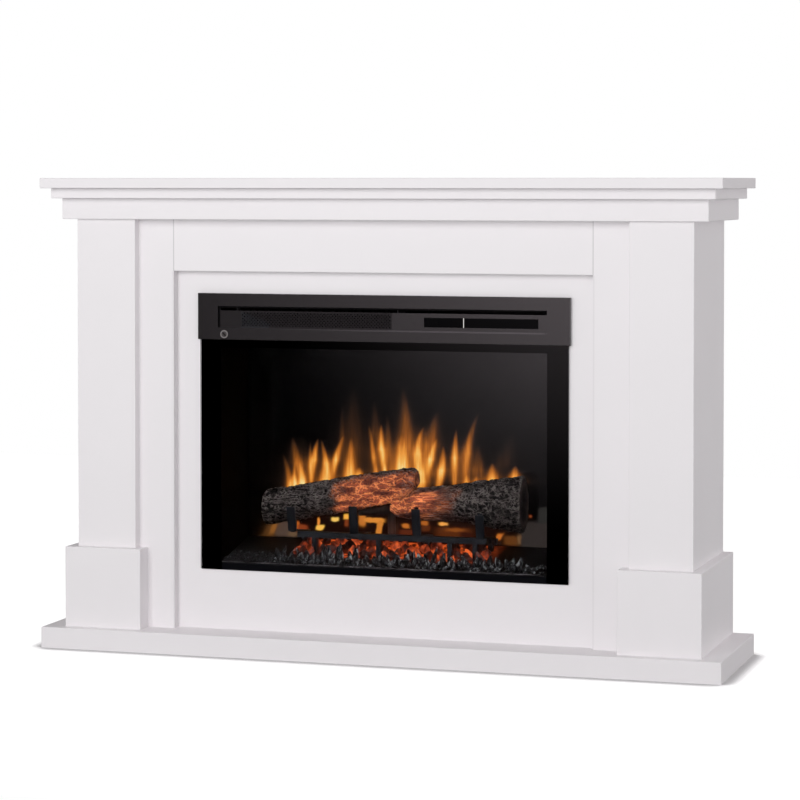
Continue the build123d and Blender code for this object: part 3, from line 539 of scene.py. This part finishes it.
for y in np.arange(gravel_front, gravel_back, gravel_pitch):
    for x in np.arange(-bed_half, shards_from, gravel_pitch):
        lumps.append((x + dice.normal(0, 0.002), y, dice.uniform(0.003, 0.006), gravel_half,
                      dice.uniform(0.0015, 0.004)))
points, faces, shades = rubble(lumps)
coal_lumps = new_piece("coal_lumps", points, faces, coal_finish, smooth=False)
mark(coal_lumps, "shade", shades)
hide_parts("coals")

ember_finish, tree, shader = new_finish("glowing_ember", {"Roughness": 0.5, "Emission Strength": 1.0})
spot = place(tree)
height = axes(tree, spot)["Z"]
veins = cloud(tree, stretched(tree, spot, 80.0, 80.0, 50.0), 1.0, 4.0)
glow = calc(tree, "MULTIPLY", calc(tree, "SUBTRACT", veins, 0.5), 1.7)
glow = calc(tree, "ADD", glow, calc(tree, "MULTIPLY", marked(tree, "shade"), 0.72))
dim_from, dim_full = 0.178, 0.206
glow = calc(tree, "SUBTRACT", glow, calc(tree, "MULTIPLY", rise(tree, height, dim_from, dim_full), 0.25))
ramp = put(tree, "ValToRGB", {}, {"Fac": glow})
for at, colour in ((0.12, (12, 5, 4)), (0.36, (62, 22, 13)), (0.58, (148, 56, 30)), (0.86, (240, 106, 50))):
    stop = ramp.color_ramp.elements.new(at)
    stop.color = tint(*colour)
for stop in (ramp.color_ramp.elements[-1], ramp.color_ramp.elements[0]):
    ramp.color_ramp.elements.remove(stop)
tree.links.new(ramp.outputs["Color"], shader["Emission Color"])
tree.links.new(blend(tree, veins, tint(20, 10, 8), tint(70, 34, 22)), shader["Base Color"])
tree.links.new(bump(tree, veins, 0.002), shader["Normal"])
# Rows of embers from front to back: depth and pitch
ember_rows = ((-0.030, 0.026), (-0.012, 0.026), (0.010, 0.028), (0.034, 0.030))
lumps = []
for y, pitch in ember_rows:
    for x in np.arange(ember_left, ember_right, pitch):
        lumps.append((x + dice.normal(0, 0.004), y + dice.normal(0, 0.002), dice.uniform(0.010, 0.017),
                      dice.uniform(0.006, 0.009), dice.uniform(0.009, 0.015)))
points, faces, shades = rubble(lumps)
embers = new_piece("ember_lumps", points, faces, ember_finish, smooth=False)
mark(embers, "shade", shades)

# Log grate: one moulding of glass-filled plastic that copies black cast iron, standing on the bed.
# Its skin is slightly rough, with a blue-black cast.
cast_black = grained("cast_black_plastic", tint(24, 33, 40), 0.55, 600.0, 0.3, 0.0002, {})
dress(cast_black, "log_grate")


# Logs: moulded and painted resin copies of firewood, laid in the saddles of the grate.
# Wavy ridges of bark stand up between dark cracks, the ends are sawn, and a glow shows where they burn.
bark_depth, bark_proud, knot_depth, swell_height, saw_depth = 0.0024, 0.0012, 0.006, 0.0018, 0.0016
# Spacing along and round the log, and the width of a line as a share of it
broad_ridges, fine_ridges, long_fibres = (0.012, 0.0075, 0.3), (0.007, 0.004, 0.34), (0.07, 0.005, 0.4)


def stroke(spot, length, girth, width, seed):
    """Wavy raised lines of bark: 1 on a line, 0 away from it; length and girth set their spacing."""
    grid = Vector((spot.x / length + seed, spot.y / girth, spot.z / girth))
    coarse = grid * 0.45
    grid += 0.7 * Vector([noise.noise(coarse + Vector((shift, 0, shift))) for shift in (7.3, 19.6, 31.9)])
    return max(0.0, 1 - abs(noise.noise(grid)) / width)


def ramp_up(value, low, high):
    """0 at low, 1 at high, held at those outside; falls where low is above high."""
    return min(1.0, max(0.0, (value - low) / (high - low)))


def bark_log(name, stations, round_end, glow_from, glow_to, glow_foot, end_glow, long_grain, knots, seed):
    """A bark-covered log through ellipses along X, in place of the CAD log; it glows along one stretch."""
    ring_count, step = 150, 0.0013
    start_reach, start_round = 0.007, 0.10
    end_reach, end_round, end_undercut = round_end
    along = np.arange(stations[0][0], stations[-1][0] + step / 2, step)
    middle_y, middle_z, deep, tall = (
        np.interp(along, [s[0] for s in stations], [s[i] for s in stations]) for i in (1, 2, 3, 4))
    points, relief, glow, cut, under = [], [], [], [], []
    for i, x in enumerate(along):
        rounding = 1 - start_round * ramp_up(x, along[0] + start_reach, along[0]) ** 2
        near_end = ramp_up(x, along[-1] - end_reach, along[-1])
        undercut = end_undercut * ramp_up(x, along[-1] - 2.6 * end_reach, along[-1]) ** 2
        rounding -= end_round * near_end ** 2.2
        grain_share = ramp_up(x, *long_grain) if long_grain else 1.0
        for j in range(ring_count):
            angle = 2 * math.pi * j / ring_count
            c, s = math.cos(angle), math.sin(angle)
            spot = Vector((x, deep[i] * c, tall[i] * s))
            bark = 0.7 * stroke(spot, *broad_ridges, seed)
            bark = min(1.0, bark + 0.6 * stroke(spot, *fine_ridges, seed + 5))
            grain = min(1.0, 0.9 * stroke(spot, *long_fibres, seed + 9))
            high = grain + (bark - grain) * grain_share
            swell = swell_height * noise.noise(spot * 38 + Vector((seed, 3, 1)))
            drop = bark_depth * (1 - high) - bark_proud - swell
            for knot_x, knot_angle, knot_radius in knots:
                away = math.hypot(x - knot_x, (angle - knot_angle) * tall[i]) / knot_radius
                if away < 1:
                    drop += knot_depth * (1 - away ** 2)
                    high *= away ** 2
            shrink = (rounding + undercut * min(s, 0.0)) * (1 - drop / deep[i])
            points.append((x, middle_y[i] + deep[i] * c * shrink, middle_z[i] + tall[i] * s * shrink))
            stray = 0.02 * noise.noise(spot * 45)
            lit = ramp_up(x + stray, *glow_from) * ramp_up(x + stray, *glow_to)
            relief.append(high)
            glow.append(lit * ramp_up(s + 6 * stray, 0.96, 0.62) * ramp_up(s + 6 * stray, *glow_foot))
            cut.append(0.0)
            # Painted shade: a mark that rises towards the underside, which the finish darkens.
            under.append(ramp_up(-s, -0.1, 0.95))
    faces = []
    for i in range(len(along) - 1):
        here, ahead = i * ring_count, (i + 1) * ring_count
        for j in range(ring_count):
            k = (j + 1) % ring_count
            faces.append((here + j, ahead + j, ahead + k, here + k))
    for end, way in ((0, -1), (len(along) - 1, 1)):
        centre = Vector((along[end], middle_y[end], middle_z[end]))
        rim = list(range(end * ring_count, (end + 1) * ring_count))
        edge_points = [Vector(points[index]) for index in rim]
        for share in (0.92, 0.8, 0.66, 0.5, 0.32, 0.14):
            ring = []
            for p in edge_points:
                dent = saw_depth * (noise.noise(p * 260 + Vector((share * 9, 0, 0))) - 1) * (1 - share)
                ring.append(len(points))
                points.append(centre.lerp(p, share) + Vector((way * dent, 0, 0)))
                relief.append(0.5 + 0.5 * math.sin(share * 34))
                glow.append(end_glow if way > 0 else 0.0)
                cut.append(1.0)
                under.append(0.0)
            for j in range(ring_count):
                k = (j + 1) % ring_count
                quad = (rim[j], rim[k], ring[k], ring[j])
                faces.append(quad if way > 0 else quad[::-1])
            rim = ring
        faces.append(rim if way > 0 else rim[::-1])
    piece = new_piece(name + "_bark", points, faces, bark_finish)
    for attribute, values in (("relief", relief), ("glow", glow), ("cut", cut), ("under", under)):
        mark(piece, attribute, values)
    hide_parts(name)


bark_finish, tree, shader = new_finish("charred_bark", {"Specular IOR Level": 0.35, "Emission Strength": 1.0})
spot = place(tree)
relief, lit, cut, under = (marked(tree, name) for name in ("relief", "glow", "cut", "under"))
x = axes(tree, spot)["X"]
grit = cloud(tree, stretched(tree, spot, 220.0, 460.0, 460.0), 1.0, 5.0)
patch = cloud(tree, stretched(tree, spot, 30.0, 60.0, 60.0), 1.0, 4.0)
warp = put(tree, "TexNoise", {}, {"Vector": spot, "Scale": 70.0, "Detail": 3.0}).outputs["Color"]
bent, straight = (
    put(tree, "VectorMath", {"operation": "MULTIPLY_ADD"}, {0: warp, 1: sway, 2: spot}).outputs[0]
    for sway in ((0.022, 0.022, 0.022), (0.02, 0.004, 0.004)))


def plates(where, x_scale, girth_scale):
    """How far a point lies from the edge of its plate of bark: 0 at the edge, about 0.4 amid a plate."""
    cells = {"Vector": stretched(tree, where, x_scale, girth_scale, girth_scale), "Scale": 1.0}
    return put(tree, "TexVoronoi", {"feature": "DISTANCE_TO_EDGE"}, cells).outputs["Distance"]


split_from, split_full, bark_from, bark_full = 0.036, 0.050, 0.096, 0.118


def along_log(first, second, third):
    """One value for the left log, one for the split wood beside it, one for the right log's bark."""
    on_split, on_bark = rise(tree, x, split_from, split_full), rise(tree, x, bark_from, bark_full)
    split = put(tree, "Mix", {}, {0: on_split, 2: first, 3: second}).outputs[0]
    return put(tree, "Mix", {}, {0: on_bark, 2: split, 3: third}).outputs[0]


worm_noise = cloud(tree, stretched(tree, bent, 74.0, 118.0, 118.0), 1.0, 1.5)
worms = calc(tree, "MULTIPLY", apart(tree, worm_noise, 0.5), 3.0)
from_edge = along_log(plates(bent, 95.0, 165.0), plates(straight, 26.0, 260.0), worms)
ridge = rise(tree, from_edge, 0.17, 0.03)
pit = rise(tree, from_edge, 0.22, 0.42)
crack_from, crack_full, rim_from, rim_full = -0.13, -0.19, 0.2262, 0.2306
split_end = rise(tree, x, crack_from, crack_full)
long_crack = calc(tree, "MULTIPLY", rise(tree, plates(straight, 14.0, 88.0), 0.07, 0.02), split_end)
ridge_light = calc(tree, "MULTIPLY", rise(tree, patch, 0.3, 0.62), 0.8)
tone = calc(tree, "MULTIPLY_ADD", ridge, ridge_light, calc(tree, "MULTIPLY", pit, -0.3))
tone = calc(tree, "MULTIPLY_ADD", calc(tree, "SUBTRACT", grit, 0.5), 1.3, tone)
tone = calc(tree, "MULTIPLY_ADD", relief, 0.25, tone)
tone = calc(tree, "SUBTRACT", tone, long_crack)
pale_rim = rise(tree, x, rim_from, rim_full)
tone = calc(tree, "MULTIPLY_ADD", pale_rim, 0.4, tone)
# Painted shade: the bark darkens towards the underside of each log.
tone = calc(tree, "MULTIPLY", rise(tree, tone, -0.35, 1.2), calc(tree, "MULTIPLY_ADD", under, -0.4, 1.0))
bark = blend(tree, tone, tint(9, 9, 8), tint(146, 142, 136))
sawn = blend(tree, relief, tint(38, 31, 29), tint(78, 66, 60))
tree.links.new(blend(tree, lit, blend(tree, cut, bark, sawn), tint(44, 26, 23)), shader["Base Color"])
net = along_log(plates(bent, 40.0, 105.0), plates(straight, 18.0, 250.0), plates(bent, 60.0, 105.0))
seam = calc(tree, "MULTIPLY", rise(tree, net, 0.11, 0.03), rise(tree, patch, 0.40, 0.56))
flushed = rise(tree, calc(tree, "MULTIPLY_ADD", grit, 0.9, patch), 0.68, 1.2)
flush = blend(tree, flushed, tint(48, 23, 21), tint(180, 88, 58))
flush = blend(tree, rise(tree, grit, 0.56, 0.62), flush, tint(50, 38, 40))
# The glow is painted darker towards the underside too, but for the left log, where it is a little lighter.
flush = scaled(tree, flush, calc(tree, "MULTIPLY_ADD", under, along_log(0.1, -0.4, -0.4), 1.0))
ember_light = blend(tree, seam, flush, blend(tree, grit, tint(212, 98, 58), tint(255, 164, 98)))
right_heat, crossing_end = 0.84, 0.085
crossing_heat = calc(tree, "MULTIPLY_ADD", rise(tree, x, crossing_end, split_full), 0.6, right_heat)
ember_light = scaled(tree, ember_light, along_log(1.0, crossing_heat, right_heat))
sawn_light = scaled(tree, sawn, calc(tree, "MULTIPLY", cut, 0.1))
log_light = put(tree, "VectorMath", {"operation": "ADD"}, {0: scaled(tree, ember_light, lit), 1: sawn_light})
tree.links.new(log_light.outputs[0], shader["Emission Color"])
tree.links.new(calc(tree, "MULTIPLY_ADD", tone, -0.25, 0.9), shader["Roughness"])
tree.links.new(bump(tree, calc(tree, "ADD", grit, ridge), 0.0011), shader["Normal"])

branch_finish, tree, shader = new_finish("scorched_branch", {"Roughness": 0.85, "Emission Strength": 1.0})
spot = place(tree)
fibres = cloud(tree, stretched(tree, spot, 300.0, 300.0, 50.0), 1.0, 3.0)
ember_light_top, ember_to = 0.244, 0.214
# Painted light: the branch glows warm towards its lower end, standing in for light from the embers below.
ember_side = rise(tree, axes(tree, spot)["Z"], ember_light_top, ember_to)
tree.links.new(blend(tree, fibres, tint(18, 15, 13), tint(56, 46, 40)), shader["Base Color"])
branch_light = blend(tree, fibres, tint(16, 8, 6), tint(66, 36, 26))
tree.links.new(scaled(tree, branch_light, ember_side), shader["Emission Color"])
tree.links.new(bump(tree, fibres, 0.001), shader["Normal"])
dress(branch_finish, "branch_log")

# Each station along a log: place along X, middle in depth and height, half depth and half height
left_stations = ((-0.2459, 0.008, 0.246, 0.026, 0.031), (-0.0596, 0.008, 0.281, 0.027, 0.031),
                 (0.0385, 0.008, 0.300, 0.025, 0.027))
left_knot = (-0.118, math.pi + 0.95, 0.011)
bark_log("left_log", left_stations, round_end=(0.010, 0.22, 0.7), glow_from=(-0.118, -0.088),
         glow_to=(0.040, 0.014), glow_foot=(-1.0, -0.74), end_glow=0.4, long_grain=None,
         knots=[left_knot], seed=3.0)
right_stations = ((-0.0075, 0.014, 0.254, 0.020, 0.015), (0.0358, 0.016, 0.261, 0.027, 0.028),
                  (0.1132, 0.017, 0.266, 0.029, 0.033), (0.2318, 0.020, 0.266, 0.033, 0.050))
bark_log("right_log", right_stations, round_end=(0.004, 0.06, 0.0), glow_from=(-0.04, -0.02),
         glow_to=(0.120, 0.064), glow_foot=(-0.96, -0.1), end_glow=0.0, long_grain=(0.07, 0.13),
         knots=[], seed=17.0)

# Trim: a folded steel fascia over the top of the glass, in satin charcoal enamel, with a window in it.
# The outlet mesh, a punched plate, and the control plate sit in the window below a dark slot.
# A slotted screw fixes it to the frame, and three gloss black keys lie flush in a strip of the same black.
window_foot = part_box("control_plate")[0].z
fold_width = 0.0034
fold_dark, fold_bright, fold_fade, fold_end = -0.24, 0.1, 0.280, 0.312
charcoal, tree, shader = new_finish("charcoal_enamel", {"IOR": 1.7})
x, _, z = axes(tree, place(tree))
skin = put(tree, "Group", {"node_tree": fine_grain},
           {"Colour": tint(23, 21, 22), "Size": 1500.0, "Spread": 0.12, "Roughness": 0.22})
# Painted highlight: a pale line along the fold under the window, brighter towards the right and fading at the
# right end.
fold_highlight = product(
    tree, rise(tree, z, window_foot + 0.0002, window_foot - 0.0006),
    rise(tree, z, window_foot - fold_width, window_foot - fold_width + 0.001),
    rise(tree, x, fold_dark, fold_bright), rise(tree, x, fold_end, fold_fade))
normal_x = axes(tree, put(tree, "NewGeometry", {}, {}).outputs["Normal"])["X"]
trim_tone_and_highlight = blend(tree, fold_highlight, skin.outputs["Colour"], tint(62, 58, 61))
# Painted shade: the trim's right-facing side is coloured near black.
shaded_right_face = calc(tree, "GREATER_THAN", normal_x, 0.5)
tree.links.new(blend(tree, shaded_right_face, trim_tone_and_highlight, tint(6, 6, 6)), shader["Base Color"])
tree.links.new(skin.outputs["Roughness"], shader["Roughness"])
tree.links.new(bump(tree, skin.outputs["Height"], 0.00003), shader["Normal"])
dress(charcoal, "trim_fascia", "control_plate")

mesh_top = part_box("outlet_grille")[1].z
blank_end, glare_end, glare_slope = -0.258, -0.207, 0.4
glare_soft, glare_hard = 0.003, 0.001
mesh_black, tree, shader = new_finish("mesh_black", {"Roughness": 0.45, "Specular IOR Level": 0.3})
spot = place(tree)
x, _, z = axes(tree, spot)
mesh_tone_and_glare = blend(tree, cloud(tree, spot, 300.0), tint(16, 14, 15), tint(31, 28, 30))
# Painted glare: a lighter patch at the left end of the mesh, below a slanting edge.
glare_height = calc(tree, "MULTIPLY_ADD", calc(tree, "SUBTRACT", x, blank_end), glare_slope, z)
glare = product(
    tree, rise(tree, calc(tree, "SUBTRACT", mesh_top, glare_height), -glare_hard, glare_soft),
    rise(tree, x, glare_end + glare_soft, glare_end - glare_hard))
mesh_tone_and_glare = blend(tree, glare, mesh_tone_and_glare, tint(31, 32, 35))
blank = calc(tree, "LESS_THAN", x, blank_end)
tree.links.new(blend(tree, blank, mesh_tone_and_glare, tint(23, 21, 22)), shader["Base Color"])
tree.links.new(bump(tree, cloud(tree, spot, 1500.0), 0.00003), shader["Normal"])
dress(mesh_black, "outlet_grille")

bezel_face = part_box("control_bezel")[0].y
light_line, line_reach, line_core = 0.1506, 0.0008, 0.0003
gloss_black, tree, shader = new_finish(
    "gloss_black_bezel",
    {"Base Color": tint(5, 5, 6), "Specular IOR Level": 0.05, "Emission Strength": 0.9})
x, y, _ = axes(tree, place(tree))
strip = product(tree, rise(tree, apart(tree, x, light_line), line_reach, line_core),
                calc(tree, "LESS_THAN", y, bezel_face + line_core))
tree.links.new(scaled(tree, tint(255, 252, 248)[:3], strip), shader["Emission Color"])
polish = cloud(tree, place(tree), 30.0)
tree.links.new(calc(tree, "MULTIPLY_ADD", polish, 0.06, 0.05), shader["Roughness"])
dress(gloss_black, "control_bezel")
key_gloss = grained("key_plastic", tint(5, 5, 6), 0.14, 900.0, 0.2, 0.00001, {"Specular IOR Level": 0.05})
dress(key_gloss, "power_key", "heat_key", "flame_key")

screw_low, screw_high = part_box("cover_screw")
screw_x, screw_z = (screw_low.x + screw_high.x) / 2, (screw_low.z + screw_high.z) / 2
screw_radius = (screw_high.x - screw_low.x) / 2
nickel, tree, shader = new_finish("dulled_nickel", {"Metallic": 0.6})
x, _, z = axes(tree, place(tree))
aside, above = calc(tree, "SUBTRACT", x, screw_x), calc(tree, "SUBTRACT", z, screw_z)
on_face = put(tree, "CombineXYZ", {}, {"X": aside, "Z": above}).outputs[0]
from_middle = put(tree, "VectorMath", {"operation": "LENGTH"}, {0: on_face}).outputs["Value"]
from_slot = calc(tree, "ABSOLUTE", calc(tree, "ADD", aside, above))
# The rim is coloured lighter than the face, and the slot dark as painted shade.
rim = rise(tree, from_middle, screw_radius * 0.68, screw_radius * 0.8)
slot = rise(tree, from_slot, screw_radius * 0.36, screw_radius * 0.22)
face = blend(tree, slot, tint(82, 80, 79), tint(22, 21, 21))
tree.links.new(blend(tree, rim, face, tint(150, 148, 146)), shader["Base Color"])
scuffs = cloud(tree, place(tree), 900.0)
tree.links.new(calc(tree, "MULTIPLY_ADD", scuffs, 0.2, 0.35), shader["Roughness"])
dress(nickel, "cover_screw")

# Glass: one clear toughened pane in front of the firebox, held behind the lower edge of the trim.
# Its faces are polished, with faint wipe marks.
clear_glass, tree, shader = new_finish(
    "toughened_glass", {"Base Color": (0.94, 0.95, 0.95, 1.0), "IOR": 1.45, "Transmission Weight": 1.0})
wipe_marks = rise(tree, cloud(tree, place(tree), 12.0), 0.4, 0.9)
tree.links.new(calc(tree, "MULTIPLY", wipe_marks, 0.02), shader["Roughness"])
dress(clear_glass, "glass_pane")

# Studio: a pale floor and a white surround, whose light is dimmer from above and stronger from behind.
# Only the camera sees them as full white: in gloss and through glass the surround is dark below
# and to the left, as black cloth makes it.
scene = bpy.context.scene
scene.view_settings.view_transform = "Standard"
world = bpy.data.worlds.new("studio_surround")
world.use_nodes = True
scene.world = world
tree = world.node_tree
background = tree.nodes["Background"]
way = axes(tree, put(tree, "TexCoord", {}, {}).outputs["Generated"])
above_cloth = rise(tree, way["Z"], -0.062, -0.04)
upward = calc(tree, "MULTIPLY_ADD", above_cloth, 1.6, rise(tree, way["Z"], -0.13, -0.02))
sheen = product(tree, upward, rise(tree, way["X"], -0.34, -0.19),
                calc(tree, "MULTIPLY_ADD", rise(tree, way["Y"], 0.7, 0.1), 0.85, 0.15))
path = put(tree, "LightPath", {}, {}).outputs
mirrored_ray = calc(tree, "MAXIMUM", path["Is Glossy Ray"], path["Is Transmission Ray"])
from_above = calc(tree, "MULTIPLY_ADD", rise(tree, way["Z"], 0.1, 0.9), -0.42, 0.64)
ambient = calc(tree, "MULTIPLY_ADD", rise(tree, way["Y"], 0.0, 0.8), 0.38, from_above)
room_light = scaled(tree, (1.0, 1.0, 1.0), ambient)
strength = blend(tree, mirrored_ray, room_light, scaled(tree, (0.99, 0.87, 0.92), sheen))
strength = blend(tree, path["Is Camera Ray"], strength, (1.0, 1.0, 1.0, 1.0))
tree.links.new(strength, background.inputs["Color"])

floor_half, floor_front = 3.0, -1.25
floor_finish, tree, shader = new_finish(
    "pale_floor", {"Base Color": tint(200, 199, 200), "Roughness": 0.9, "Emission Strength": 1.0})
seen = put(tree, "LightPath", {}, {}).outputs["Is Camera Ray"]
# Painted shadow: near the object the camera's white floor is darkened by occlusion, as a contact shadow.
open_sky = put(tree, "AmbientOcclusion", {}, {"Distance": 0.04}).outputs["AO"]
beside_base = rise(tree, open_sky, 0.62, 0.99)
white_floor_and_contact_shadow = blend(tree, beside_base, (0.02, 0.02, 0.02, 1.0), (0.78, 0.78, 0.78, 1.0))
tree.links.new(blend(tree, seen, (0.05, 0.05, 0.05, 1.0), white_floor_and_contact_shadow), shader["Emission Color"])
floor_mesh = bpy.data.meshes.new("studio_floor")
floor_mesh.from_pydata([(-floor_half, floor_front, 0), (floor_half, floor_front, 0),
                        (floor_half, floor_half, 0), (-floor_half, floor_half, 0)], [], [(0, 1, 2, 3)])
floor_mesh.materials.append(floor_finish)
floor = bpy.data.objects.new("studio_floor", floor_mesh)
scene.collection.objects.link(floor)
floor.visible_glossy = False
floor.visible_transmission = False


def soft_box(name, spot, target, size, power):
    """A large square lamp aimed at a point."""
    light = bpy.data.lights.new(name, "AREA")
    light.size = size
    light.energy = power
    lamp_object = bpy.data.objects.new(name, light)
    lamp_object.location = spot
    lamp_object.rotation_euler = (Vector(target) - Vector(spot)).to_track_quat("-Z", "Y").to_euler()
    lamp_object.visible_camera = False
    lamp_object.visible_glossy = False
    lamp_object.visible_transmission = False
    scene.collection.objects.link(lamp_object)


soft_box("key_soft_box", spot=(-0.4, -4.2, 1.7), target=(0.0, 0.0, 0.5), size=2.4, power=92.0)
soft_box("side_soft_box", spot=(2.0, 0.25, 0.28), target=(0.85, 0.05, -0.35), size=0.5, power=3.4)

camera_data = bpy.data.cameras.new("photo_camera")
camera_data.sensor_width = 36.0
camera_data.lens = 123.441
camera_data.shift_y = -0.175
camera = bpy.data.objects.new("photo_camera", camera_data)
camera.location = (1.4591, -4.6235, 0.8324)
camera_pitch, camera_yaw = 0.0285, 0.3038
camera.rotation_euler = (math.pi / 2 - camera_pitch, 0.0, camera_yaw)
scene.collection.objects.link(camera)
scene.camera = camera
